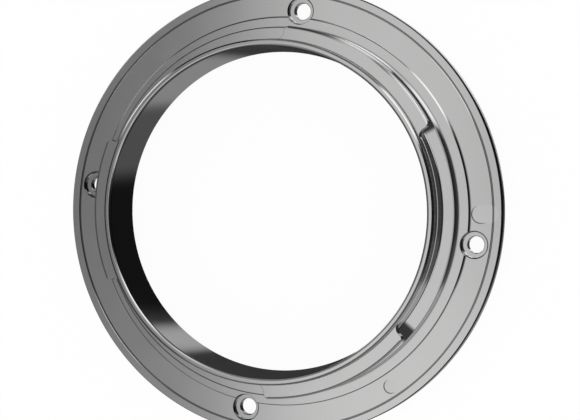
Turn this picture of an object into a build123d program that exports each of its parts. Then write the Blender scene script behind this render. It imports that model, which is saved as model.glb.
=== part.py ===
from build123d import *

import os
from math import cos, hypot, radians, sin

# Male bayonet mount ring for an interchangeable camera lens: one turned and milled metal ring. The flange lies
# flat, back face down, and the three lugs of the bayonet stand above it. Millimetres, +Z along the ring's axis
# towards the bayonet, origin at the centre of the back face.

# Throat that the light passes through, narrowest just behind the seating face
throat_waist_radius = 21.5
throat_flare = 0.52

# Widths of the rings round the throat, each one starting where the last ends
rim_wall = 0.83
rim_ledge = 0.1
lug_reach = 1.85
shoulder_width = 1.8
land_width = 1.45
screw_setback = 0.9
flange_margin = 3.35

# Heights, each one starting where the last ends, except as said
flange_thickness = 2.1
land_height = 0.5
shoulder_height = 2.45  # above the flange face, like the land
bayonet_groove_height = 2.05
lug_thickness = 1.2
rim_stand = 1.15

# Register bore in the back, which seats on the lens barrel
register_step = 1.4
register_depth = 2.0
register_mouth_break = 0.15

# Fine groove turned into the flange face, near its rim
face_groove_inset = 1.15
face_groove_width = 0.24
face_groove_depth = 0.22

# Broken edges, and rounds left by the turning tool
flange_edge_break = 0.12
shoulder_foot_web = 0.13
shoulder_edge_break = 0.12
tube_foot_round = 0.3
lug_edge_round = 0.12
lug_root_web = 0.36
rim_outer_round = 0.2
rim_inner_round = 0.3

# Each lug's two ends, in degrees round the axis from +X
lug_sectors = ((27.3, 84.5), (156.6, 202.5), (268.8, 318.7))
lug_corner_round = 0.6
mill_radius = 1.2
mill_overrun = 1.0

# Counterbored screw holes, which the real ring spaces unevenly
screw_angles = (-100.5, -9.0, 84.0, 172.5)
screw_hole_radius = 1.125
counterbore_radius = 1.75
counterbore_depth = 1.0

# Shallow witness pockets in the flange face. Their floors rise to nothing.
pocket_depth = 0.12
slot_pocket_angle = -0.4
slot_pocket_setback = 0.2
slot_pocket_length = 3.6
slot_pocket_width = 2.4
slot_pocket_tilt = 2.6
dot_pocket_angle = -56.4
dot_pocket_setback = 0.72
dot_pocket_radius = 0.93
dot_pocket_tilt = 4.0

# Radii that follow
throat_top_radius = throat_waist_radius + throat_flare
rim_radius = throat_top_radius + rim_wall
tube_radius = rim_radius + rim_ledge
lug_radius = tube_radius + lug_reach
shoulder_radius = tube_radius + shoulder_width
land_radius = shoulder_radius + land_width
screw_pitch_radius = land_radius + screw_setback
flange_radius = screw_pitch_radius + flange_margin
register_radius = throat_waist_radius + register_step
face_groove_radius = flange_radius - face_groove_inset
slot_pocket_start = land_radius + slot_pocket_setback
dot_pocket_start = land_radius + dot_pocket_setback

# Levels above the back face that follow
face_level = flange_thickness
land_level = face_level + land_height
shoulder_level = face_level + shoulder_height
lug_underside_level = shoulder_level + bayonet_groove_height
lug_top_level = lug_underside_level + lug_thickness
rim_level = lug_top_level + rim_stand
counterbore_level = face_level - counterbore_depth

same_place = 0.001


def at_radius(radius):
    """Test that picks the vertices lying on a circle round the axis."""
    return lambda vertex: abs(hypot(vertex.X, vertex.Y) - radius) < same_place


def at_corner(radius, level):
    """Test that picks one corner of the turned section, where a sketch's Y is the level."""
    return lambda vertex: abs(vertex.X - radius) < same_place and abs(vertex.Y - level) < same_place


def on_circle(radius, angle):
    """Point at a radius and an angle round the axis."""
    return radius * cos(radians(angle)), radius * sin(radians(angle))


def pocket_floor(inner_radius, angle, tilt):
    """Plane of a pocket's floor, which starts deep nearest the axis and rises outwards."""
    start = Plane(origin=(*on_circle(inner_radius, angle), face_level - pocket_depth))
    return start.rotated((0, 0, angle)).rotated((0, -tilt, 0))


# Outline that the mill leaves standing: the rim with the three lugs on it
with BuildSketch() as lug_plan:
    Circle(rim_radius)
    for start, end in lug_sectors:
        with BuildLine():
            lug_arc = CenterArc((0, 0), lug_radius, start, end - start)
            Polyline(lug_arc @ 1, (0, 0), lug_arc @ 0)
        make_face()
    fillet(vertices().filter_by(at_radius(lug_radius)), radius=lug_corner_round)
    fillet(vertices().filter_by(at_radius(rim_radius)), radius=mill_radius)

with BuildPart() as mount_ring:
    # Turned blank, with the bayonet flange still running all the way round
    with BuildSketch(Plane.XZ):
        with BuildLine():
            Polyline(
                (register_radius, 0),
                (flange_radius, 0),
                (flange_radius, face_level),
                (land_radius, face_level),
                (land_radius, land_level),
                (shoulder_radius, land_level),
                (shoulder_radius, shoulder_level),
                (tube_radius, shoulder_level),
                (tube_radius, lug_underside_level),
                (lug_radius, lug_underside_level),
                (lug_radius, lug_top_level),
                (rim_radius, lug_top_level),
                (rim_radius, rim_level),
                (throat_top_radius, rim_level),
                (throat_waist_radius, register_depth),
                (register_radius, register_depth),
                close=True,
            )
        make_face()
        for radius, level, size in (
            (flange_radius, 0, flange_edge_break),
            (flange_radius, face_level, flange_edge_break),
            (register_radius, 0, register_mouth_break),
            (shoulder_radius, land_level, shoulder_foot_web),
            (shoulder_radius, shoulder_level, shoulder_edge_break),
            (rim_radius, lug_top_level, lug_root_web),
        ):
            chamfer(vertices().filter_by(at_corner(radius, level)), length=size)
        for radius, level, size in (
            (tube_radius, shoulder_level, tube_foot_round),
            (lug_radius, lug_top_level, lug_edge_round),
            (rim_radius, rim_level, rim_outer_round),
            (throat_top_radius, rim_level, rim_inner_round),
        ):
            fillet(vertices().filter_by(at_corner(radius, level)), radius=size)
    revolve(axis=Axis.Z)

    # Fine groove in the flange face
    with BuildSketch(Plane.XZ):
        with Locations((face_groove_radius, face_level)):
            Rectangle(face_groove_width, 2 * face_groove_depth)
    revolve(axis=Axis.Z, mode=Mode.SUBTRACT)

    # Gaps milled out between the lugs, down to the undersides of the lugs
    with BuildSketch(Plane.XY.offset(lug_underside_level)):
        Circle(lug_radius + mill_overrun)
        add(lug_plan.sketch, mode=Mode.SUBTRACT)
    extrude(amount=rim_level - lug_underside_level, mode=Mode.SUBTRACT)

    # Screw holes, each with a flat seat sunk through the edge of the land
    with Locations([(*on_circle(screw_pitch_radius, angle), land_level) for angle in screw_angles]):
        CounterBoreHole(screw_hole_radius, counterbore_radius, land_level - counterbore_level)

    # Slot-shaped pocket, deepest at its inner end
    with BuildSketch(pocket_floor(slot_pocket_start, slot_pocket_angle, slot_pocket_tilt)):
        with Locations((slot_pocket_length / 2, 0)):
            SlotOverall(slot_pocket_length, slot_pocket_width)
    extrude(amount=land_height, mode=Mode.SUBTRACT)

    # Round pocket, deepest on the side towards the axis
    with BuildSketch(pocket_floor(dot_pocket_start, dot_pocket_angle, dot_pocket_tilt)):
        with Locations((dot_pocket_radius, 0)):
            Circle(dot_pocket_radius)
    extrude(amount=land_height, mode=Mode.SUBTRACT)

mount_ring.part.label = "mount_ring"

os.makedirs("parts", exist_ok=True)
export_step(mount_ring.part, "parts/mount_ring.step")
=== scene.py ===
"""Bayonet mount ring of an interchangeable lens: its turned and milled form, its plating, and its stage.

The ring is a profile carried round the axis. The lugs are where the profile's upper flange reaches out, and
the mill's path between them is one outline of arcs and lines. Screw holes and witness pockets are cut
afterwards.
"""

import math

import bpy
import numpy as np
from bpy.props import FloatProperty, FloatVectorProperty, IntProperty, PointerProperty
from mathutils import Matrix, Vector


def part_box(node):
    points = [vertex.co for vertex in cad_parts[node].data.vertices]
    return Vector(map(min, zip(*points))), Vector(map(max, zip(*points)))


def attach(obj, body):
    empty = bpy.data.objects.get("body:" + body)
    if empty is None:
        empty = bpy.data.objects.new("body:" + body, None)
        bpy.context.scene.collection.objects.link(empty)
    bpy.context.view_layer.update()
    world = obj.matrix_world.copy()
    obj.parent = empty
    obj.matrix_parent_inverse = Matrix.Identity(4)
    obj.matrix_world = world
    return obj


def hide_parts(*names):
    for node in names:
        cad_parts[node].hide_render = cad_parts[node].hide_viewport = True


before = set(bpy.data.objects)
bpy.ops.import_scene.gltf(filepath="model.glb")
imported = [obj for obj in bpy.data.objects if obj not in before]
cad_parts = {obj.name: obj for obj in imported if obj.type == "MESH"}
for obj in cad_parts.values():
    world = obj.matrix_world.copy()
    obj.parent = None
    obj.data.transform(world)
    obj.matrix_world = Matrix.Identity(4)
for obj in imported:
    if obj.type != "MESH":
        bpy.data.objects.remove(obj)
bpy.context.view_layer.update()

bl_info = {
    "name": "Bayonet Mount Ring",
    "version": (1, 0, 0),
    "blender": (4, 5, 0),
    "location": "View3D > Sidebar > Mount Ring",
    "description": "Turns, mills and plates a lens mount ring, and sets its stage, light and camera",
    "category": "Mesh",
}

MM = 0.001
NODE = "mount_ring"
FLANGE_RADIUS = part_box(NODE)[1].x
RIM_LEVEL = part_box(NODE)[1].z

# Each lug's two ends, and the screw holes, in degrees round the axis from +X
LUG_SECTORS = ((27.3, 84.5), (156.6, 202.5), (268.8, 318.7))
SCREW_ANGLES = (-100.5, -9.0, 84.0, 172.5)

# Where the shoulder gets a painted reflection and shade of the lugs' dark undersides, in the same degrees
PAINTED_UNDERSIDE_REFLECTIONS = ((27.3, 50.0), (315.5, 320.3))

# Points in plan on a lug's outer corner and on the mill's round at its root
CORNER_STEPS = 9
ROOT_STEPS = 13

# Rows of points that a round takes in the section, and the shallower round on a lug's edge
ROUND_ROWS = 7
EDGE_ROWS = 6

# How far from a round or chamfer the rows lie that keep the faces beside it flat
SUPPORT = 0.03 * MM

# A lug stands out less and less towards its ends. No edge takes more than its share of that reach.
EDGE_SHARE = 0.4
LOWER_EDGE_SHARE = 0.3
ROOT_SHARE = 0.35
SUPPORT_SHARE = 0.1

# Share of the corner's radius over which the lead-in dies out, and where its rows lie across it
LEAD_END_SHARE = 0.25
LEAD_ROWS = (0.15, 0.85, 1.0)

# Shares of the lug's edge round, across and down, at which the lead-in takes over from it
ROUND_ACROSS = 0.66
ROUND_DOWN = 0.06

# Least heights of a lug's upper and lower edge, and the step between rows that meet where a lug has ended
LEAST_RISE = 0.05 * MM
LEAST_LIFT = 0.02 * MM
ROW_STEP = 0.01 * MM

# Columns each side in the running mean of the angles, and the share of the plain angles kept near the lugs
MEAN_REACH = 9
PLAIN_SHARE = 0.9

# How far a drill stands out of the back, and the points round a hole, on a slot's end and round a dot, whose
# last point lies on its first
DRILL_OVERRUN = 1.0 * MM
HOLE_STEPS = 96
SLOT_STEPS = 25
DOT_STEPS = 65

# Least angle between faces that shade as an edge
SHARP_ANGLE = math.radians(32.0)

# Fades of the painted shade and of the duller, matte places, in mm from the edge named: where each starts and
# is full
IMAGE_FROM_LUG_EDGE = (0.12, -0.12)
FLAT_FROM_SHOULDER_TOP = (-0.03, -0.01)
SHADE_FROM_UNDERSIDE = (0.06, 0.01)
SHADE_FROM_TUBE = (-0.3, -0.1)
ENDS_FROM_UNDERSIDE = (-0.1, 0.0)
ENDS_FROM_LUG_TOP = (-0.01, -0.06)
ENDS_FROM_LUG_EDGE = (-0.05, -0.25)
ENDS_FROM_RIM = (0.02, 0.1)
GROOVE_FROM_FACE = (-0.02, -0.08)
GROOVE_FROM_BACK = (1.0, 1.5)
MOUTH_LINE = (0.13, 0.06)
HOLE_LINE = (0.07, 0.03)
HOLE_FROM_SEAT_ABOVE = (0.03, 0.0)
HOLE_FROM_SEAT_BELOW = (-0.5, -0.1)
POCKET_LINE = (0.1, 0.03)
POCKET_FROM_FACE_ABOVE = (0.03, 0.01)
POCKET_FROM_FACE_BELOW = (-0.1, -0.07)
POCKET_FROM_START = (-0.15, -0.1)
ROOT_FROM_ITS_EDGE = (0.03, -0.03)
ROOT_FROM_RIM = (-0.2, -0.1)
ROOT_FROM_LUG_TOP_ABOVE = (0.45, 0.3)
ROOT_FROM_LUG_TOP_BELOW = (-0.01, 0.0)

# How dark the painted shade is on the lugs' ends, in the face groove, round the holes' mouths and the holes,
# and along the pockets' edges
END_SHADE = 0.85
GROOVE_SHADE = 0.75
MOUTH_SHADE = 0.85
HOLE_SHADE = 0.5
POCKET_SHADE = 0.95

# The face groove's painted shade in shares of its width, and the mouths' in heights above the seat and below
# the face
GROOVE_SIDES = (0.62, 0.42)
MOUTH_FOOT = 0.5 * MM
MOUTH_TOP = 0.1 * MM

# How far towards +X the painted reflection of the lugs' undersides is shifted on the shoulder, and how soft
# its ends are, in degrees
IMAGE_SHIFT = 0.66 * MM
IMAGE_SOFTNESS = 0.9

# Direction of the side on which the pockets' edges get a painted shade line, the facings at which the line
# starts and is full, and the shares of each pocket's length at which it has half faded, with the half width
# of that fade
PAINTED_LINE_SIDE = math.radians(213.0)
PAINTED_LINE_FACINGS = (-0.4, 0.9)
SLOT_FADE = 0.5
DOT_FADE = 1.1
FADE_HALF = 0.1

# Half width in degrees of a sector that is the whole ring
WHOLE_RING = 180.0

# Stretches of the section with painted shade and painted dark reflections: radius, lowest and highest level
# and reach in mm, then strength, and the bearing and half width of the sector in degrees
PAINTED_SHADE_STRETCHES = (
    (23.0, 4.55, 4.55, 0.25, 0.2, 0.0, WHOLE_RING),
    (24.8, 2.6, 2.62, 0.2, 0.5, 0.0, WHOLE_RING),
    (22.1, 8.55, 8.87, 0.3, 0.75, 186.0, 14.0),
    (22.1, 8.55, 8.9, 0.3, 0.6, 125.0, 32.0),
    (24.68, 4.5, 4.55, 0.16, 0.85, 182.0, 100.0),
    (24.8, 6.6, 7.55, 0.12, 0.85, 37.0, 14.0),
    (24.68, 7.7, 7.72, 0.34, 0.9, 76.0, 9.0),
    (22.9, 7.85, 8.77, 0.16, 0.6, 58.0, 32.0),
    (22.9, 8.45, 8.7, 0.2, 0.8, 3.0, 24.0),
    (22.74, 8.9, 8.95, 0.2, 0.8, 198.0, 41.0),
    (24.75, 3.6, 4.4, 0.4, 0.85, 3.0, 24.0),
    (26.2, 2.1, 2.5, 0.22, 0.95, 3.0, 24.0),
    (26.2, 2.1, 2.6, 0.18, 0.95, 118.0, 42.0),
    (30.45, 0.1, 2.0, 0.2, 0.75, 3.0, 24.0),
)

# How soft the ends of those sectors are, in degrees
STRETCH_SOFTNESS = 5.0

# Noise behind the patches of more and less gloss: how fine, how detailed and how rough it is
PATCH_SCALE = 180.0
PATCH_DETAIL = 3.0
PATCH_ROUGHNESS = 0.55

# Studio panels and dark flags: bearing, half width and softness in degrees, then brightness
TENT_PANELS = (
    (126.0, 33.0, 5.0, 0.22),
    (195.0, 38.0, 6.0, 0.15),
    (268.0, 36.0, 6.0, 0.27),
    (2.0, 24.0, 6.0, 0.02),
    (42.0, 20.0, 5.0, 1.2),
    (70.0, 2.5, 3.5, 0.3),
)
SIDE_PANELS = (
    (-95.0, 45.0, 8.0, 0.14),
    (0.0, 26.0, 6.0, 0.01),
    (45.0, 14.0, 4.0, 1.2),
    (93.0, 34.0, 4.0, 0.22),
    (180.0, 60.0, 10.0, 0.13),
)
LEVEL_PANELS = (
    (-95.0, 45.0, 8.0, 0.12),
    (-20.0, 22.0, 6.0, 0.05),
    (96.0, 14.0, 6.0, 0.22),
    (152.0, 9.0, 4.0, 0.9),
)
THROAT_PANELS = (
    (-95.0, 27.0, 10.0, 0.262),
    (-45.0, 22.0, 8.0, 0.085),
    (20.0, 42.0, 8.0, 0.007),
    (84.0, 9.0, 7.0, 0.4),
)
WALL_PANELS = (
    (-108.0, 50.0, 6.0, 0.34),
    (-40.0, 16.0, 6.0, 0.085),
    (10.0, 32.0, 6.0, 0.05),
    (103.5, 44.5, 3.0, 0.95),
    (102.0, 8.0, 6.0, 0.5),
)
FRINGE_PANELS = (
    (156.0, 12.0, 6.0, 1.0),
)

# Heights of a direction, from 1 overhead to -1 below, between which one band of the studio gives way to
# the next
OVERHEAD_TO_TENT = (0.905, 0.82)
TENT_TO_SIDES = (0.52, 0.4)
SIDES_TO_LEVEL = (0.12, 0.05)
LEVEL_TO_BELOW = (-0.35, -0.5)

# The same below, in leans off the axis, from 0 straight down to 1 level
WALLS_TO_THROAT = (0.325, 0.345)
THROAT_TO_FRINGE = (0.54, 0.6)

# Overhead panels, in slopes off the axis: the soft line between bright and dark, the bright one's loss of
# light towards +Y, and the dark one's far end, beyond which it is lighter
PANEL_LINE = (-0.378, -0.303)
PANEL_LOSS = 0.44
DARK_PANEL_END = (-0.14, -0.04)
BEYOND_DARK_PANEL = 0.28

# Near the axis the bright panel is dimmer: two ranges of leans, each with the share of light at its start
NEAR_AXIS = ((0.16, 0.25, 0.62), (0.0, 0.17, 0.3))

# Dark flag overhead: its sector as for the panels, its brightness, and the leans over which it fades in
FLAG_SECTOR = (0.0, 40.0, 12.0)
FLAG_LIGHT = 0.06
FLAG_FADE = (0.1, 0.22)

# Least lean and height of a direction that are divided by
LEAST_LEAN = 0.001
LEAST_HEIGHT = 0.05

# The camera's sensor in mm and its nearest distance, and how far the floor lies below the ring
SENSOR_WIDTH = 36.0
CLIP_START = 0.01
FLOOR_GAP = 0.04 * MM

WHITE = (1.0, 1.0, 1.0, 1.0)


def length(name, description, default):
    """A size that a user may change, stored in metres."""
    return FloatProperty(name=name, description=description, default=default, min=0.0,
                         unit="LENGTH", subtype="DISTANCE", precision=5)


def tint(name, description, default):
    """A colour that a user may change, as linear red, green and blue."""
    return FloatVectorProperty(name=name, description=description, default=default, size=3,
                               min=0.0, max=1.0, subtype="COLOR")


def share(name, description, default, top=1.0):
    """A plain number from 0 up to a top, such as a roughness or a brightness."""
    return FloatProperty(name=name, description=description, default=default, min=0.0, max=top,
                         subtype="FACTOR")


def turn(name, description, degrees):
    """An angle that a user may change, given here in degrees."""
    return FloatProperty(name=name, description=description, default=math.radians(degrees),
                         unit="ROTATION", subtype="ANGLE")


class RingSizes(bpy.types.PropertyGroup):
    """Sizes of the turned and milled ring."""
    flange_radius: length("Flange radius", "Outside radius of the flange", FLANGE_RADIUS)
    rim_level: length("Rim level", "Height of the rim above the back face", RIM_LEVEL)
    flange_thickness: length("Flange thickness", "Back face to seating face", 2.1 * MM)
    land_radius: length("Land radius", "Edge of the low land round the shoulder", 26.2 * MM)
    land_height: length("Land height", "Height of the land above the seating face", 0.5 * MM)
    shoulder_radius: length("Shoulder radius", "Spigot that enters the camera's mount", 24.75 * MM)
    shoulder_height: length("Shoulder height", "Height of the shoulder above the seating face", 2.45 * MM)
    tube_radius: length("Tube radius", "Bottom of the groove under the lugs", 23.0 * MM)
    groove_height: length("Bayonet groove", "Clear height under the lugs", 2.05 * MM)
    lug_radius: length("Lug radius", "Outside radius of the lugs", 24.8 * MM)
    lug_thickness: length("Lug thickness", "Thickness of the lugs", 1.2 * MM)
    rim_radius: length("Rim radius", "Outside radius of the rim above the lugs", 22.9 * MM)
    throat_top: length("Throat radius, top", "Inside radius at the rim", 22.02 * MM)
    throat_waist: length("Throat radius, waist", "Inside radius at its narrowest", 21.5 * MM)
    register_radius: length("Register radius", "Bore in the back", 22.9 * MM)
    register_depth: length("Register depth", "Depth of the bore in the back", 2.0 * MM)
    face_groove_radius: length("Face groove radius", "Fine groove in the seating face", 29.3 * MM)
    face_groove_width: length("Face groove width", "Width of the fine groove", 0.24 * MM)
    face_groove_depth: length("Face groove depth", "Depth of the fine groove", 0.22 * MM)
    edge_break: length("Edge break", "Width of the chamfers on the flange's edges", 0.11 * MM)
    edge_drop: length("Edge drop", "Height of those chamfers", 0.18 * MM)
    land_break: length("Land edge break", "Chamfer on the land's edge", 0.13 * MM)
    shoulder_round: length("Shoulder round", "Round on the shoulder's edge", 0.1 * MM)
    fine_break: length("Fine edge break", "Chamfer on the small steps", 0.03 * MM)
    rim_break: length("Rim edge break", "Chamfer on the rim's outer edge", 0.22 * MM)
    rim_inner_round: length("Rim inner round", "Round on the rim's inner edge", 0.3 * MM)
    foot_round: length("Tube foot round", "Round between the shoulder and the tube", 0.2 * MM)
    lug_lead: length("Lug lead-in", "Width of the shallow chamfer on the lugs' outer edge", 0.26 * MM)
    lug_lead_tilt: turn("Lug lead-in tilt", "How far that chamfer leans off the lugs' tops", 26.0)
    lug_end_break: length("Lug end break", "Round on the milled ends of the lugs", 0.04 * MM)
    lug_root: length("Lug root", "Round between the lugs and the rim", 0.12 * MM)
    lug_corner: length("Lug corner", "Plan radius of a lug's outer corner", 0.6 * MM)
    mill_radius: length("Mill radius", "Plan radius at the root of a lug's end", 1.2 * MM)
    screw_pitch: length("Screw circle radius", "Circle on which the screw holes lie", 27.1 * MM)
    screw_hole: length("Screw hole radius", "Radius of the through holes", 1.125 * MM)
    counterbore: length("Counterbore radius", "Radius of the screw heads' seats", 1.72 * MM)
    mouth_break: length("Mouth break", "Chamfer on the counterbores' mouths", 0.11 * MM)
    hole_break: length("Hole break", "Chamfer on the screw holes' upper edges", 0.06 * MM)
    counterbore_depth: length("Counterbore depth", "Depth of the seats below the seating face", 1.0 * MM)
    pocket_depth: length("Pocket depth", "Depth of the witness pockets at their inner end", 0.05 * MM)
    slot_start: length("Slot pocket start", "Radius at which the slot-shaped pocket starts", 26.4 * MM)
    slot_length: length("Slot pocket length", "Length of the slot-shaped pocket", 3.6 * MM)
    slot_width: length("Slot pocket width", "Width of the slot-shaped pocket", 2.4 * MM)
    slot_angle: turn("Slot pocket angle", "Where the slot-shaped pocket lies", -0.4)
    dot_start: length("Round pocket start", "Radius at which the round pocket starts", 26.92 * MM)
    dot_radius: length("Round pocket radius", "Radius of the round pocket", 0.93 * MM)
    dot_angle: turn("Round pocket angle", "Where the round pocket lies", -56.4)
    pocket_tilt: turn("Pocket tilt", "How the pockets' floors rise outwards", 0.5)
    columns: IntProperty(name="Columns", description="Steps round the ring", default=720, min=90)


class PlateFinish(bpy.types.PropertyGroup):
    """Satin chrome plate over turned metal."""
    metal: tint("Plate colour", "Colour of the plate where it faces you", (0.80, 0.80, 0.795))
    roughness: share("Roughness", "Softness of the plate's reflections", 0.1)
    root_roughness: share("Root roughness", "Softness added in the round between the lugs and the rim", 0.4)
    roughness_spread: share("Roughness spread", "How much the softness varies", 0.025)
    # Strength of all the painted shade and painted reflections in the plate's colour
    painted_shade_strength: share("Recess darkness", "How dark the plate is under the lugs and in the groove", 0.93)
    mark_pitch: length("Turning mark pitch", "Spacing of the turning marks", 0.06 * MM)
    mark_height: length("Turning mark height", "Height of the turning marks", 0.0002 * MM)


class StageLook(bpy.types.PropertyGroup):
    """Floor, light and camera."""
    floor_size: length("Floor size", "Side of the square floor", 6.0)
    floor_colour: tint("Floor colour", "Colour of the floor", (0.92, 0.92, 0.92))
    whiteness: share("Floor whiteness", "Share of plain white, of which the rest keeps the shadow", 0.95)
    overhead_bright: share("Overhead bright", "Brightness of the overhead panel", 0.645, 2.0)
    overhead_dark: share("Overhead dark", "Brightness beyond the overhead panel's edge", 0.187, 2.0)
    tent: share("Tent", "Brightness of the tent's upper sides", 0.85, 2.0)
    side_base: share("Side base", "Brightness at the sides where no panel stands", 0.1, 2.0)
    level_base: share("Level base", "Brightness level with the ring where no panel stands", 0.02, 2.0)
    low_base: share("Low base", "Brightness below the ring where no panel stands", 0.037, 2.0)
    aim: FloatVectorProperty(name="Aim", description="Point that the camera looks at", size=3, unit="LENGTH",
                             subtype="XYZ", default=(1.354 * MM, 0.198 * MM, 2.1 * MM))
    distance: length("Camera distance", "From the aim to the camera", 291.77 * MM)
    elevation: turn("Camera elevation", "Camera above the floor", 72.23)
    bearing: turn("Camera bearing", "Camera round the ring from +X", 3.77)
    lens: FloatProperty(name="Lens", description="Focal length on a sensor 36 mm wide, in millimetres",
                        default=134.3, min=1.0)


def arc_points(centre, radius, start, end, count):
    """Points on an arc: the centre plus the radius times (cos, sin) of each angle from start to end."""
    angles = np.linspace(start, end, count)
    return np.array(centre) + radius * np.stack([np.cos(angles), np.sin(angles)], axis=1)


def lug_end(size, angle):
    """Outline of a lug's end on the side where the angle grows, from the lug's arc to the rim.

    A convex arc inside the lug touches its outer circle and the radial line at the given angle. A concave
    arc beyond the line touches the line and the rim's circle. Their centres lean off the line by the arc
    sine of each radius over its centre's distance from the axis. Returns the points, their outward normals,
    and the two centres' angles.
    """
    corner, root = size.lug_corner, size.mill_radius
    lean_in = math.asin(corner / (size.lug_radius - corner))
    lean_out = math.asin(root / (size.rim_radius + root))
    corner_angle = angle - lean_in
    root_angle = angle + lean_out
    quarter = math.pi / 2
    turn_out = np.linspace(corner_angle, angle + quarter, CORNER_STEPS)
    turn_in = np.linspace(angle - quarter, root_angle - math.pi, ROOT_STEPS)
    corner_centre = (size.lug_radius - corner) * np.array([math.cos(corner_angle), math.sin(corner_angle)])
    root_centre = (size.rim_radius + root) * np.array([math.cos(root_angle), math.sin(root_angle)])
    facing_out = np.stack([np.cos(turn_out), np.sin(turn_out)], axis=1)
    facing_in = np.stack([np.cos(turn_in), np.sin(turn_in)], axis=1)
    points = np.concatenate([corner_centre + corner * facing_out, root_centre + root * facing_in])
    normals = np.concatenate([facing_out, -facing_in])
    return points, normals, corner_angle, root_angle


def mirrored_end(size, angle):
    """The same end on the side where the angle falls, listed in the order of growing angle."""
    points, normals, corner_angle, root_angle = lug_end(size, -angle)
    flip = np.array([1.0, -1.0])
    return (points * flip)[::-1], (normals * flip)[::-1], -corner_angle, -root_angle


def plain_arc(radius, start, end, columns):
    """Points and outward normals on a circle round the axis, without the two ends."""
    count = max(2, int(round(columns * (end - start) / (2 * math.pi))))
    angles = np.linspace(start, end, count + 1)[1:-1]
    normals = np.stack([np.cos(angles), np.sin(angles)], axis=1)
    return radius * normals, normals


def lug_outline(size):
    """Closed outline that the mill leaves: lug arcs, lug ends and rim arcs, in the order of growing angle.

    Returns the points, their outward normals, and how far each stands outside the rim's circle.
    """
    sectors = [(math.radians(start), math.radians(end)) for start, end in LUG_SECTORS]
    points, normals = [], []
    for index, (start, end) in enumerate(sectors):
        near = mirrored_end(size, start)
        far = lug_end(size, end)
        following = sectors[(index + 1) % len(sectors)][0]
        if index + 1 == len(sectors):
            following += 2 * math.pi
        next_root = mirrored_end(size, following)[3]
        lug_arc = plain_arc(size.lug_radius, near[2], far[2], size.columns)
        gap_arc = plain_arc(size.rim_radius, far[3], next_root, size.columns)
        for piece in (near, lug_arc, far, gap_arc):
            points.append(piece[0])
            normals.append(piece[1])
    points, normals = np.concatenate(points), np.concatenate(normals)
    reach = np.hypot(points[:, 0], points[:, 1]) - size.rim_radius
    return points, normals, np.maximum(reach, 0.0)


def growing_angles(points):
    """Polar angles of the outline, and smoothed ones, both growing all the way round.

    A lug's end is nearly radial, so its polar angles bunch up. Rows away from the lugs use a running mean of
    them, which keeps their faces from folding.
    """
    polar = np.unwrap(np.arctan2(points[:, 1], points[:, 0]))
    steady = np.maximum.accumulate(polar)
    before, after = steady[-MEAN_REACH:] - 2 * math.pi, steady[:MEAN_REACH] + 2 * math.pi
    count = 2 * MEAN_REACH + 1
    smooth = np.convolve(np.concatenate([before, steady, after]), np.ones(count) / count, mode="valid")
    return PLAIN_SHARE * steady + (1.0 - PLAIN_SHARE) * smooth, smooth


def circle_row(radius, level, angles):
    """One row of the ring: a circle of points at a radius and a level."""
    flat = np.full_like(angles, level)
    return np.stack([radius * np.cos(angles), radius * np.sin(angles), flat], axis=1)


def belt_row(outline, inset, level):
    """One row of the lugs: the outline moved inwards along its normals, at a level for each point."""
    points, normals, reach = outline
    moved = points - normals * inset[:, None]
    return np.column_stack([moved, np.broadcast_to(level, reach.shape)])


def circles(angles, *corners):
    """A row of the ring for each (radius, level)."""
    return [circle_row(radius, level, angles) for radius, level in corners]


def ring_levels(size):
    """Levels of the seating face, the land, the shoulder, and the lugs' undersides and tops."""
    face = size.flange_thickness
    shoulder = face + size.shoulder_height
    underside = shoulder + size.groove_height
    return face, face + size.land_height, shoulder, underside, underside + size.lug_thickness


def flange_rows(size, angles):
    """The section from the register's mouth out along the back, up the flange and in to the tube's foot."""
    face, land, shoulder = ring_levels(size)[:3]
    fine, edge, foot, brow = size.fine_break, size.edge_break, size.foot_round, size.shoulder_round
    groove_out = size.face_groove_radius + size.face_groove_width / 2
    groove_in = size.face_groove_radius - size.face_groove_width / 2
    groove_floor = face - size.face_groove_depth
    quarter = math.pi / 2
    brow_arc = arc_points((size.shoulder_radius - brow, shoulder - brow), brow, 0.0, quarter, ROUND_ROWS)
    foot_centre = (size.tube_radius + foot, shoulder + foot)
    foot_arc = arc_points(foot_centre, foot, 3 * quarter, 2 * quarter, ROUND_ROWS)
    return circles(
        angles,
        (size.register_radius + edge, 0.0),
        (size.flange_radius - edge, 0.0),
        (size.flange_radius, size.edge_drop),
        (size.flange_radius, face - size.edge_drop),
        (size.flange_radius - edge, face),
        (groove_out + fine, face),
        (groove_out, face - fine),
        (groove_out, groove_floor),
        (groove_in, groove_floor),
        (groove_in, face - fine),
        (groove_in - fine, face),
        (size.land_radius, face),
        (size.land_radius, land - size.land_break),
        (size.land_radius - size.land_break, land),
        (size.shoulder_radius + fine, land),
        (size.shoulder_radius, land + fine),
        (size.shoulder_radius, shoulder - brow - SUPPORT),
        *brow_arc,
        (size.shoulder_radius - brow - SUPPORT, shoulder),
        (size.tube_radius + foot + SUPPORT, shoulder),
        *foot_arc,
        (size.tube_radius, shoulder + foot + SUPPORT),
    )


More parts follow.
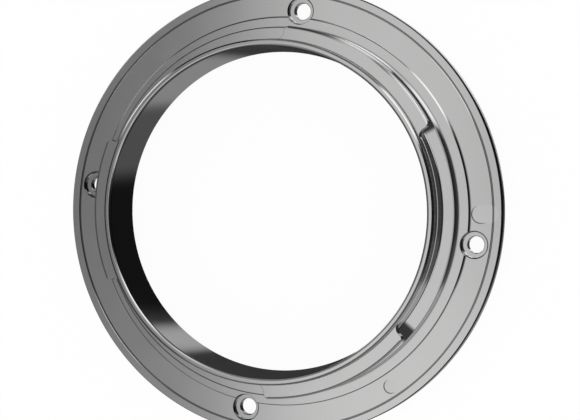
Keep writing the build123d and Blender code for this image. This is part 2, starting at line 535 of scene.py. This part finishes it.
def lug_rows(size, outline, angles):
    """The section's part on the lugs: underside, wall, rounded edge, lead-in, top and root.

    Up to the lead-in each row is the outline moved in along its normals. The edge is a round that stops at
    the lead-in's tilt, and the lead-in drops by its width times the tilt's tangent. The root is a quarter
    round up to the rim's circle. Where a lug ends, all of these shrink with the outline's reach.
    """
    reach = outline[2]
    underside, lug_top = ring_levels(size)[3:]
    from_edge = size.lug_radius - np.hypot(*outline[0].T)
    milled = np.clip(from_edge / (LEAD_END_SHARE * size.lug_corner), 0.0, 1.0)
    lead = np.minimum(size.lug_lead * (1.0 - milled), EDGE_SHARE * reach)
    drop = lead * math.tan(size.lug_lead_tilt)
    rounding = np.minimum(size.lug_end_break, EDGE_SHARE * reach)
    rise = np.maximum(rounding, LEAST_RISE)
    lower = np.minimum(size.fine_break, LOWER_EDGE_SHARE * reach)
    unmoved = np.zeros_like(reach)
    rows = [
        circle_row(size.tube_radius, underside, angles),
        belt_row(outline, lower, underside),
        belt_row(outline, unmoved, underside + np.maximum(lower, LEAST_LIFT)),
        belt_row(outline, unmoved, lug_top - drop - rise - SUPPORT),
    ]
    for sweep in np.linspace(0.0, math.pi / 2 - size.lug_lead_tilt, EDGE_ROWS):
        inset = rounding * (1.0 - math.cos(sweep))
        rows.append(belt_row(outline, inset, lug_top - drop - rise * (1.0 - math.sin(sweep))))
    for part in LEAD_ROWS:
        inset = ROUND_ACROSS * rounding + (lead + (1.0 - ROUND_ACROSS) * rounding) * part
        rows.append(belt_row(outline, inset, lug_top - (drop + ROUND_DOWN * rise) * (1.0 - part)))
    step = ROW_STEP * np.clip(1.0 - reach / size.lug_root, 0.0, 1.0)
    top_edge = lead + rounding + np.minimum(SUPPORT_SHARE * reach, SUPPORT)
    rows.append(belt_row(outline, top_edge, lug_top + step))
    root = np.minimum(size.lug_root, ROOT_SHARE * reach)
    spokes = circle_row(1.0, 0.0, angles)[:, :2]
    before_root = root + np.minimum(SUPPORT_SHARE * reach, 2 * SUPPORT)
    rows.append(np.column_stack([spokes * (size.rim_radius + before_root)[:, None], lug_top + 2 * step]))
    for sweep in np.linspace(0.0, math.pi / 2, ROUND_ROWS):
        out = root * (1.0 - math.sin(sweep))
        level = lug_top + 3 * step + size.lug_root * (1.0 - math.cos(sweep))
        rows.append(np.column_stack([spokes * (size.rim_radius + out)[:, None], level]))
    return rows


def throat_rows(size, angles):
    """The section from the rim's outer edge over it, down the throat, and back to the register's mouth."""
    rim, inner, fine = size.rim_level, size.rim_inner_round, size.fine_break
    quarter = math.pi / 2
    return circles(
        angles,
        (size.rim_radius, rim - size.rim_break),
        (size.rim_radius - size.rim_break, rim),
        (size.throat_top + inner + SUPPORT, rim),
        *arc_points((size.throat_top + inner, rim - inner), inner, quarter, 2 * quarter, ROUND_ROWS),
        (size.throat_top, rim - inner - SUPPORT),
        (size.throat_waist, size.register_depth + fine),
        (size.throat_waist + fine, size.register_depth),
        (size.register_radius, size.register_depth),
        (size.register_radius, size.edge_break),
    )


def ring_rows(size):
    """The ring's section, row by row from the register's mouth round to it again, as a grid of points."""
    outline = lug_outline(size)
    near_lug, smooth = growing_angles(outline[0])
    return np.stack(flange_rows(size, smooth) + lug_rows(size, outline, near_lug) + throat_rows(size, smooth))


def closed_grid(rows):
    """Faces of a grid whose rows and columns both join up, each with its corners in the outward order."""
    high, wide = rows.shape[:2]
    index = np.arange(high * wide).reshape(high, wide)
    up = np.roll(index, -1, axis=0)
    right = np.roll(index, -1, axis=1)
    corner = np.roll(up, -1, axis=1)
    return np.stack([index, right, corner, up], axis=-1).reshape(-1, 4)


def new_mesh(name, points, blocks):
    """A mesh of the given points and faces. Each block is an array of faces with equally many corners."""
    mesh = bpy.data.meshes.new(name)
    faces = [face for block in blocks for face in block.tolist()]
    mesh.from_pydata(points.reshape(-1, 3).tolist(), [], faces)
    mesh.update()
    return mesh


def turned_cutter(profile):
    """Closed solid of revolution about Z, from (radius, level) corners, the first and last on the axis."""
    angles = np.linspace(0.0, 2 * math.pi, HOLE_STEPS + 1)[:-1]
    corners = np.array(profile)
    rings = corners[1:-1]
    around = np.stack([np.cos(angles), np.sin(angles)], axis=1)
    levels = np.broadcast_to(rings[:, None, 1:], (len(rings), HOLE_STEPS, 1))
    grid = np.concatenate([rings[:, None, :1] * around, levels], axis=2)
    poles = np.array([[0.0, 0.0, corners[0, 1]], [0.0, 0.0, corners[-1, 1]]])
    points = np.concatenate([grid.reshape(-1, 3), poles])
    index = np.arange(len(rings) * HOLE_STEPS).reshape(len(rings), HOLE_STEPS)
    right = np.roll(index, -1, axis=1)
    walls = np.stack([index[:-1], right[:-1], right[1:], index[1:]], axis=-1).reshape(-1, 4)
    low, high = len(points) - 2, len(points) - 1
    bottom = np.column_stack([np.full(HOLE_STEPS, low), right[0], index[0]])
    top = np.column_stack([np.full(HOLE_STEPS, high), index[-1], right[-1]])
    return points, (walls, bottom, top)


def screw_cutter(size):
    """Tool that drills, counterbores and breaks the edges of one screw hole, standing on the axis."""
    seat = size.flange_thickness - size.counterbore_depth
    face = size.flange_thickness
    fine = size.fine_break
    above = size.rim_level
    profile = (
        (0.0, -DRILL_OVERRUN),
        (size.screw_hole + fine + DRILL_OVERRUN, -DRILL_OVERRUN),
        (size.screw_hole, fine),
        (size.screw_hole, seat - size.hole_break),
        (size.screw_hole + size.hole_break, seat),
        (size.counterbore, seat),
        (size.counterbore, face - size.mouth_break),
        (size.counterbore + size.mouth_break, face),
        (size.counterbore + size.mouth_break, above),
        (0.0, above),
    )
    return turned_cutter(profile)


def prism_cutter(outline, depth):
    """Solid that stands on a flat outline in the XY plane and rises by a depth."""
    count = len(outline)
    low = np.column_stack([outline, np.zeros(count)])
    high = np.column_stack([outline, np.full(count, depth)])
    index = np.arange(count)
    right = np.roll(index, -1)
    walls = np.stack([index, right, right + count, index + count], axis=-1)
    return np.concatenate([low, high]), (walls, index[None, ::-1], index[None] + count)


def slot_outline(size):
    """Stadium that starts at the origin and runs along X: two half circles joined by straight sides."""
    half = size.slot_width / 2
    quarter = math.pi / 2
    inner = arc_points((half, 0.0), half, quarter, 3 * quarter, SLOT_STEPS)
    outer = arc_points((size.slot_length - half, 0.0), half, -quarter, quarter, SLOT_STEPS)
    return np.concatenate([inner, outer])


def dot_outline(size):
    """Circle that starts at the origin and lies along X."""
    return arc_points((size.dot_radius, 0.0), size.dot_radius, 0.0, 2 * math.pi, DOT_STEPS)[:-1]


def ring_cutters(size):
    """All the holes' and pockets' tools as one mesh, each moved to its place."""
    points, blocks = [], []

    def place(shape, matrix):
        """Adds a tool, moved by a matrix."""
        shift = sum(len(group) for group in points)
        points.append(shape[0] @ np.array(matrix.to_3x3()).T + np.array(matrix.translation))
        blocks.extend(block + shift for block in shape[1])

    for degrees in SCREW_ANGLES:
        angle = math.radians(degrees)
        centre = (size.screw_pitch * math.cos(angle), size.screw_pitch * math.sin(angle), 0.0)
        place(screw_cutter(size), Matrix.Translation(centre))
    floor = size.flange_thickness - size.pocket_depth
    for outline, start, angle in (
        (slot_outline(size), size.slot_start, size.slot_angle),
        (dot_outline(size), size.dot_start, size.dot_angle),
    ):
        turned = Matrix.Rotation(angle, 4, "Z") @ Matrix.Translation((start, 0.0, floor))
        place(prism_cutter(outline, size.land_height), turned @ Matrix.Rotation(-size.pocket_tilt, 4, "Y"))
    return new_mesh("ring_cutters", np.concatenate(points), blocks)


def cut_away(piece, cutter_mesh):
    """Takes the cutters out of the piece and keeps the result as its mesh."""
    cutter = bpy.data.objects.new("ring_cutters", cutter_mesh)
    bpy.context.scene.collection.objects.link(cutter)
    cut = piece.modifiers.new("cut", "BOOLEAN")
    cut.operation = "DIFFERENCE"
    cut.solver = "EXACT"
    cut.object = cutter
    evaluated = piece.evaluated_get(bpy.context.evaluated_depsgraph_get())
    finished = bpy.data.meshes.new_from_object(evaluated)
    piece.modifiers.clear()
    blank = piece.data
    piece.data = finished
    bpy.data.meshes.remove(blank)
    bpy.data.objects.remove(cutter)
    bpy.data.meshes.remove(cutter_mesh)


class Field:
    """A shader socket that Python's operators can work on."""

    def __init__(self, tree, socket=None):
        self.tree = tree
        self.socket = socket

    def node(self, kind, settings=None, **inputs):
        """Adds a node with its settings, then its sockets' values or links, by name or as n0, n1, ..."""
        made = self.tree.nodes.new(kind)
        for key, value in (settings or {}).items():
            setattr(made, key, value)
        for key, value in inputs.items():
            place = made.inputs[int(key[1:])] if key[1:].isdigit() else made.inputs[key.replace("_", " ")]
            if isinstance(value, Field):
                self.tree.links.new(value.socket, place)
            else:
                place.default_value = value
        return Field(self.tree, made.outputs[0] if made.outputs else None)

    def pick(self, name):
        """Another output of the node that this field comes from."""
        return Field(self.tree, self.socket.node.outputs[name])

    def split(self):
        """The three parts of a vector."""
        parts = self.node("ShaderNodeSeparateXYZ", n0=self)
        return parts.pick("X"), parts.pick("Y"), parts.pick("Z")

    def math(self, operation, *values):
        """A Math node on this field and the other values."""
        named = {f"n{index}": value for index, value in enumerate((self, *values))}
        return self.node("ShaderNodeMath", {"operation": operation}, **named)

    def __add__(self, other):
        return self.math("ADD", other)

    __radd__ = __add__

    def __mul__(self, other):
        return self.math("MULTIPLY", other)

    __rmul__ = __mul__

    def __sub__(self, other):
        return self.math("SUBTRACT", other)

    def __rsub__(self, other):
        return (self * -1.0) + other

    def __truediv__(self, other):
        return self.math("DIVIDE", other)

    def ease(self, start, end, low=0.0, high=1.0):
        """Smooth step from low at start to high at end."""
        return self.node("ShaderNodeMapRange", {"interpolation_type": "SMOOTHSTEP"}, Value=self,
                         From_Min=start, From_Max=end, To_Min=low, To_Max=high)

    def fade(self, edge, distances):
        """Smooth step from 0 to 1 between two distances in mm from an edge in metres."""
        start, end = distances
        return self.ease(edge + start * MM, edge + end * MM)

    def value(self, number):
        """A plain number as a field."""
        made = self.node("ShaderNodeValue")
        made.socket.default_value = number
        return made

    def towards(self, target, amount):
        """This field, moved towards a target by an amount from 0 to 1."""
        return self + (target - self) * amount


def material_tree(name):
    """A new node material, emptied, and a field to start its nodes from."""
    material = bpy.data.materials.new(name)
    material.use_nodes = True
    material.node_tree.nodes.clear()
    return material, Field(material.node_tree)


def radius_of(x, y):
    """Distance from the origin of two coordinates."""
    return (x * x + y * y).math("SQRT")


def sector(x, y, reach, bearing, half_width, softness):
    """1 inside a sector round the axis and 0 outside, from the cosine of the angle to its middle line."""
    middle = math.radians(bearing)
    alignment = (x * math.cos(middle) + y * math.sin(middle)) / reach
    outside = math.cos(math.radians(half_width + softness))
    inside = math.cos(math.radians(max(half_width - softness, 0.0)))
    return alignment.ease(outside, inside)


def painted_underside_reflection(size, x, y, z, radius):
    """Painted reflection and shade of the lugs' dark undersides on the flat shoulder: their sectors, shifted
    as the image is.
    """
    shoulder, underside = ring_levels(size)[2:4]
    past = x - IMAGE_SHIFT
    reach = radius_of(past, y)
    image = radius * 0.0
    for start, end in PAINTED_UNDERSIDE_REFLECTIONS:
        seen = sector(past, y, reach, (start + end) / 2, (end - start) / 2, IMAGE_SOFTNESS)
        image = image.math("MAXIMUM", seen)
    image = image * reach.fade(size.lug_radius, IMAGE_FROM_LUG_EDGE)
    image = image * z.fade(shoulder, FLAT_FROM_SHOULDER_TOP) * z.fade(underside, SHADE_FROM_UNDERSIDE)
    return image * radius.fade(size.tube_radius, SHADE_FROM_TUBE)


def painted_shade_map(size, x, y, z, radius):
    """Painted shade and painted dark reflections: under the lugs, on their ends, in the face groove, and
    along the stretches.

    A stretch's share falls off with the distance from its line in the section, which is the root of the
    squares of how far the point lies from its radius and beyond its levels.
    """
    face, _, _, underside, lug_top = ring_levels(size)
    # Painted shade on the lugs' milled ends, between their undersides and tops
    belt = z.fade(underside, ENDS_FROM_UNDERSIDE) * z.fade(lug_top, ENDS_FROM_LUG_TOP)
    ends = belt * radius.fade(size.lug_radius, ENDS_FROM_LUG_EDGE) * END_SHADE
    ends = ends * radius.fade(size.rim_radius, ENDS_FROM_RIM)
    # Painted shade in the face groove
    aside = (radius - size.face_groove_radius).math("ABSOLUTE") / size.face_groove_width
    groove = aside.ease(*GROOVE_SIDES) * z.fade(face, GROOVE_FROM_FACE) * z.fade(0.0, GROOVE_FROM_BACK)
    shade = painted_underside_reflection(size, x, y, z, radius).math("MAXIMUM", ends)
    shade = shade.math("MAXIMUM", groove * GROOVE_SHADE)
    # Painted shade and painted dark reflections along the stretches of the section
    for across, lowest, highest, reach, strength, bearing, half_width in PAINTED_SHADE_STRETCHES:
        beyond = (lowest * MM - z).math("MAXIMUM", z - highest * MM).math("MAXIMUM", 0.0)
        dim = radius_of(radius - across * MM, beyond).ease(reach * MM, 0.0, 0.0, strength)
        if half_width < WHOLE_RING:
            dim = dim * sector(x, y, radius, bearing, half_width, STRETCH_SOFTNESS)
        shade = shade.math("MAXIMUM", dim)
    return shade


def painted_hole_lines(size, x, y, z):
    """Painted shade lines round the screw holes' and their seats' edges, from the distance to each hole's
    axis.
    """
    face = size.flange_thickness
    seat = face - size.counterbore_depth
    line = x * 0.0
    for degrees in SCREW_ANGLES:
        angle = math.radians(degrees)
        away = radius_of(x - size.screw_pitch * math.cos(angle), y - size.screw_pitch * math.sin(angle))
        from_mouth = (away - size.counterbore - size.mouth_break / 2).math("ABSOLUTE")
        mouth = from_mouth.fade(0.0, MOUTH_LINE) * z.ease(seat + MOUTH_FOOT, face - MOUTH_TOP) * MOUTH_SHADE
        from_hole = (away - size.screw_hole - size.hole_break / 2).math("ABSOLUTE")
        hole = from_hole.fade(0.0, HOLE_LINE) * z.fade(seat, HOLE_FROM_SEAT_ABOVE)
        hole = hole * z.fade(seat, HOLE_FROM_SEAT_BELOW) * HOLE_SHADE
        line = line.math("MAXIMUM", mouth).math("MAXIMUM", hole)
    return line


def painted_pocket_lines(size, x, y, z):
    """Painted shade lines along the pockets' edges, on one side only and fading outwards along each pocket.

    A pocket is a stadium, so its edge lies half its width away from its middle line: the distance is the root
    of the squares of how far a point lies to the side and beyond either end of that line.
    """
    face = size.flange_thickness
    on_face = z.fade(face, POCKET_FROM_FACE_ABOVE) * z.fade(face, POCKET_FROM_FACE_BELOW)
    line = x * 0.0
    for start, half_width, reach, angle, half_faded in (
        (size.slot_start, size.slot_width / 2, size.slot_length, size.slot_angle, SLOT_FADE),
        (size.dot_start, size.dot_radius, 2 * size.dot_radius, size.dot_angle, DOT_FADE),
    ):
        along = x * math.cos(angle) + y * math.sin(angle) - start
        side = y * math.cos(angle) - x * math.sin(angle)
        beyond = (half_width - along).math("MAXIMUM", along - (reach - half_width)).math("MAXIMUM", 0.0)
        edge = (radius_of(beyond, side) - half_width).math("ABSOLUTE").fade(0.0, POCKET_LINE)
        middle = start + half_width
        past_x, past_y = x - middle * math.cos(angle), y - middle * math.sin(angle)
        facing = (past_x * math.cos(PAINTED_LINE_SIDE) + past_y * math.sin(PAINTED_LINE_SIDE)) / half_width
        faded = along.ease((half_faded + FADE_HALF) * reach, (half_faded - FADE_HALF) * reach)
        edge = edge * facing.ease(*PAINTED_LINE_FACINGS) * faded * on_face * along.fade(0.0, POCKET_FROM_START)
        line = line.math("MAXIMUM", edge * POCKET_SHADE)
    return line


def lug_roots(size, z, radius):
    """1 in the round between the lugs' tops and the rim, where the turning tool leaves the plate matte."""
    lug_top = ring_levels(size)[4]
    across = radius.fade(size.rim_radius + size.lug_root, ROOT_FROM_ITS_EDGE)
    across = across * radius.fade(size.rim_radius, ROOT_FROM_RIM)
    return across * z.fade(lug_top, ROOT_FROM_LUG_TOP_ABOVE) * z.fade(lug_top, ROOT_FROM_LUG_TOP_BELOW)


def plated_metal(size, finish):
    """Bright satin plate with painted shade and painted reflections in its colour. Its turning marks are a
    sine of the distance from the axis, stronger in patches.
    """
    material, start = material_tree("plated_metal")
    place = start.node("ShaderNodeTexCoord").pick("Object")
    x, y, z = place.split()
    radius = radius_of(x, y)
    ripple = (radius * (2 * math.pi / finish.mark_pitch)).math("SINE")
    patch = start.node("ShaderNodeTexNoise", {"noise_dimensions": "3D"}, Vector=place, Scale=PATCH_SCALE,
                       Detail=PATCH_DETAIL, Roughness=PATCH_ROUGHNESS)
    height = ripple * patch * finish.mark_height
    bump = start.node("ShaderNodeBump", Height=height, Distance=1.0, Strength=1.0)
    # Painted shade and painted dark reflections, taken off the plate's colour
    shade = painted_shade_map(size, x, y, z, radius).math("MAXIMUM", painted_hole_lines(size, x, y, z))
    tone = 1.0 - shade.math("MAXIMUM", painted_pocket_lines(size, x, y, z)) * finish.painted_shade_strength
    colour = start.node("ShaderNodeMix", {"data_type": "RGBA", "blend_type": "MULTIPLY"}, n0=1.0,
                        n6=(*finish.metal, 1.0), n7=tone)
    smoothest = finish.roughness - finish.roughness_spread
    matte = lug_roots(size, z, radius) * finish.root_roughness
    roughness = patch * (2 * finish.roughness_spread) + smoothest + matte
    shader = start.node("ShaderNodeBsdfPrincipled", Base_Color=colour.pick("Result"), Metallic=1.0,
                        Roughness=roughness, Normal=bump)
    start.node("ShaderNodeOutputMaterial", Surface=shader)
    return material


class MOUNTRING_OT_ring(bpy.types.Operator):
    """Turn, mill, drill and plate the mount ring"""
    bl_idname = "mount_ring.turn_ring"
    bl_label = "Turn Mount Ring"

    def execute(self, context):
        size = context.scene.ring_sizes
        rows = ring_rows(size)
        piece = bpy.data.objects.new("turned_ring", new_mesh("turned_ring", rows, [closed_grid(rows)]))
        context.scene.collection.objects.link(piece)
        cut_away(piece, ring_cutters(size))
        mesh = piece.data
        mesh.polygons.foreach_set("use_smooth", np.ones(len(mesh.polygons), dtype=bool))
        mesh.set_sharp_from_angle(angle=SHARP_ANGLE)
        mesh.materials.clear()
        mesh.materials.append(plated_metal(size, context.scene.plate_finish))
        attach(piece, "root")
        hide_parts(NODE)
        piece.visible_glossy = False
        return {"FINISHED"}


def flat_square(name, side, level):
    """A square sheet centred on the axis at a level."""
    half = side / 2
    corners = [(-half, -half, level), (half, -half, level), (half, half, level), (-half, half, level)]
    made = bpy.data.objects.new(name, new_mesh(name, np.array(corners), [np.arange(4)[None]]))
    bpy.context.scene.collection.objects.link(made)
    return made


def panels(light, x, y, reach, rows):
    """Lays studio panels and dark flags over a light, each a sector with its own brightness."""
    for bearing, half_width, softness, level in rows:
        light = light.towards(level, sector(x, y, reach, bearing, half_width, softness))
    return light


def floor_material(look):
    """Pale floor, plain white to the camera and in mirrors but for a share that keeps the shadow."""
    material, start = material_tree("pale_floor")
    rays = start.node("ShaderNodeLightPath")
    seen = rays.pick("Is Camera Ray") + rays.pick("Is Glossy Ray") + rays.pick("Is Transmission Ray")
    plain = start.node("ShaderNodeBsdfDiffuse", Color=(*look.floor_colour, 1.0))
    white = start.node("ShaderNodeEmission", Color=WHITE, Strength=1.0)
    mixed = start.node("ShaderNodeMixShader", n0=seen * look.whiteness, n1=plain, n2=white)
    start.node("ShaderNodeOutputMaterial", Surface=mixed)
    return material


def overhead_light(look, x, y, z, lean):
    """The two overhead panels and the flag, from the slopes of a direction: x and y over its height."""
    height = z.math("MAXIMUM", LEAST_HEIGHT)
    across, along = x / height, y / height
    bright = along * -PANEL_LOSS + look.overhead_bright
    for nearest, farthest, kept in NEAR_AXIS:
        bright = bright * lean.ease(nearest, farthest, kept, 1.0)
    dark = along.ease(*DARK_PANEL_END, BEYOND_DARK_PANEL, look.overhead_dark)
    light = dark.towards(bright, across.ease(*PANEL_LINE))
    return light.towards(FLAG_LIGHT, sector(x, y, lean, *FLAG_SECTOR) * lean.ease(*FLAG_FADE))


def world_light(look):
    """Studio round the ring: brightness by direction, from its bearing and its lean off the ring's axis.

    Overhead are a bright and a dark panel with a soft line between them. Then come the tent, the panels and
    flags at the sides, and those below. The camera, and what the floor is lit by, is plain white.
    """
    world = bpy.data.worlds.new("studio")
    bpy.context.scene.world = world
    world.use_nodes = True
    world.node_tree.nodes.clear()
    start = Field(world.node_tree)
    x, y, z = start.node("ShaderNodeTexCoord").pick("Generated").split()
    lean = radius_of(x, y).math("MAXIMUM", LEAST_LEAN)
    overhead = overhead_light(look, x, y, z, lean)
    tent = panels(start.value(look.tent), x, y, lean, TENT_PANELS)
    sides = panels(start.value(look.side_base), x, y, lean, SIDE_PANELS)
    level = panels(start.value(look.level_base), x, y, lean, LEVEL_PANELS)
    throat = panels(start.value(look.low_base), x, y, lean, THROAT_PANELS)
    walls = panels(start.value(look.low_base), x, y, lean, WALL_PANELS)
    fringe = panels(start.value(look.level_base), x, y, lean, FRINGE_PANELS)
    below = walls.towards(throat, lean.ease(*WALLS_TO_THROAT)).towards(fringe, lean.ease(*THROAT_TO_FRINGE))
    light = overhead.towards(tent, z.ease(*OVERHEAD_TO_TENT)).towards(sides, z.ease(*TENT_TO_SIDES))
    light = light.towards(level, z.ease(*SIDES_TO_LEVEL)).towards(below, z.ease(*LEVEL_TO_BELOW))
    sky = start.node("ShaderNodeBackground", Color=WHITE, Strength=light)
    plain = start.node("ShaderNodeBackground", Color=WHITE, Strength=1.0)
    rays = start.node("ShaderNodeLightPath")
    mixed = start.node("ShaderNodeMixShader", n0=rays.pick("Is Glossy Ray"), n1=plain, n2=sky)
    start.node("ShaderNodeOutputWorld", Surface=mixed)


def add_camera(look):
    """Camera at the photograph's viewing angle, with +Y of the ring upwards in the picture."""
    level = math.cos(look.elevation)
    along = (level * math.cos(look.bearing), level * math.sin(look.bearing), math.sin(look.elevation))
    towards = Vector(along)
    right = Vector((0.0, 1.0, 0.0)).cross(towards).normalized()
    up = towards.cross(right)
    turned = Matrix((right, up, towards)).transposed().to_4x4()
    camera = bpy.data.objects.new("camera", bpy.data.cameras.new("camera"))
    camera.matrix_world = Matrix.Translation(Vector(look.aim) + towards * look.distance) @ turned
    camera.data.lens = look.lens
    camera.data.sensor_width = SENSOR_WIDTH
    camera.data.sensor_fit = "HORIZONTAL"
    camera.data.clip_start = CLIP_START
    bpy.context.scene.collection.objects.link(camera)
    bpy.context.scene.camera = camera


class MOUNTRING_OT_stage(bpy.types.Operator):
    """Set the floor, the light and the camera"""
    bl_idname = "mount_ring.set_stage"
    bl_label = "Set Stage"

    def execute(self, context):
        look = context.scene.stage_look
        floor = flat_square("floor", look.floor_size, -FLOOR_GAP)
        floor.data.materials.append(floor_material(look))
        floor.visible_glossy = False
        world_light(look)
        add_camera(look)
        context.scene.view_settings.view_transform = "Standard"
        return {"FINISHED"}


class MOUNTRING_PT_panel(bpy.types.Panel):
    """Sizes, finish and stage of the mount ring"""
    bl_idname = "MOUNTRING_PT_panel"
    bl_label = "Mount Ring"
    bl_space_type = "VIEW_3D"
    bl_region_type = "UI"
    bl_category = "Mount Ring"

    def draw(self, context):
        for group in (context.scene.ring_sizes, context.scene.plate_finish, context.scene.stage_look):
            box = self.layout.box()
            for key in group.bl_rna.properties.keys():
                if key not in ("rna_type", "name"):
                    box.prop(group, key)
        self.layout.operator(MOUNTRING_OT_ring.bl_idname)
        self.layout.operator(MOUNTRING_OT_stage.bl_idname)


CLASSES = (RingSizes, PlateFinish, StageLook, MOUNTRING_OT_ring, MOUNTRING_OT_stage, MOUNTRING_PT_panel)


def register():
    """Adds the classes, and the groups of settings to every scene."""
    for made in CLASSES:
        bpy.utils.register_class(made)
    bpy.types.Scene.ring_sizes = PointerProperty(type=RingSizes)
    bpy.types.Scene.plate_finish = PointerProperty(type=PlateFinish)
    bpy.types.Scene.stage_look = PointerProperty(type=StageLook)


def unregister():
    """Takes away what register adds."""
    del bpy.types.Scene.stage_look
    del bpy.types.Scene.plate_finish
    del bpy.types.Scene.ring_sizes
    for made in reversed(CLASSES):
        bpy.utils.unregister_class(made)


def main():
    """Makes the ring and its stage."""
    register()
    bpy.ops.mount_ring.turn_ring()
    bpy.ops.mount_ring.set_stage()


if __name__ == "__main__":
    main()
